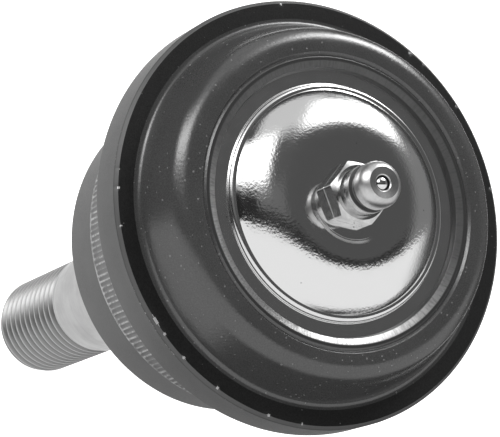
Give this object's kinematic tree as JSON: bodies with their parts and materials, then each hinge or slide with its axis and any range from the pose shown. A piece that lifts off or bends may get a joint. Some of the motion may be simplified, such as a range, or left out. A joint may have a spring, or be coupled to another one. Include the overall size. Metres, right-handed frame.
{
  "type": "suspension ball joint",
  "caption": "Press-in suspension ball joint: flanged, knurled housing with a rounded front bulge, domed cover plate with grease nipple, and a threaded ball stud that swings and turns.",
  "frame": {"origin": "centre of the flange's seating face, on the joint axis", "axes": "+Z along the joint axis towards the grease nipple, so the stud points along -Z; the joint is axisymmetric apart from the nipple's hexagon, which has a corner 4 degrees from +X towards -Y"},
  "size_m": [0.061, 0.061, 0.1181],
  "materials": {
    "housing_coat": "satin dark grey coat over a forged and machined body, knurl and side lighter",
    "chrome_plate": "bright chrome over pressed sheet, fine orange peel",
    "nipple_plate": "bright plated, turned",
    "ball_steel": "polished hardened steel",
    "spring_steel": "oiled spring steel",
    "plain_steel": "bright strip steel",
    "sintered_iron": "oil-filled sintered iron",
    "stud_steel": "turned and rolled bright steel",
    "boot_rubber": "moulded black rubber, matt"
  },
  "bodies": {
    "housing": {"housing": "housing_coat", "cover_plate": "chrome_plate", "nipple_body": "nipple_plate", "nipple_check_spring": "spring_steel", "preload_disc_spring": "spring_steel", "pressure_plate": "plain_steel", "lower_bearing": "sintered_iron", "boot_clamp_ring": "plain_steel"},
    "bearing_cup": {"upper_bearing": "sintered_iron", "dust_boot": "boot_rubber"},
    "boot_end": {"boot_neck_ring": "plain_steel"},
    "stud": {"ball_stud": "stud_steel"},
    "check_ball": {"nipple_check_ball": "ball_steel"}
  },
  "joints": [
    {"name": "swing_direction", "type": "hinge", "parent": "housing", "child": "bearing_cup", "pos_m": [0, 0, -0.008], "axis": [0, 0, 1], "continuous": true},
    {"name": "stud_swing", "type": "hinge", "parent": "bearing_cup", "child": "boot_end", "pos_m": [0, 0, -0.008], "axis": [1, 0, 0], "range_deg": [-20, 20], "deforming": ["dust_boot"]},
    {"name": "stud_spin", "type": "hinge", "parent": "boot_end", "child": "stud", "pos_m": [0, 0, -0.008], "axis": [0, 0, 1], "continuous": true},
    {"name": "check_ball_slide", "type": "slide", "parent": "housing", "child": "check_ball", "axis": [0, 0, -1], "range_m": [0, 0.0008], "stiffness_N_per_m": 400, "springref_m": -0.001, "deforming": ["nipple_check_spring"]}
  ]
}
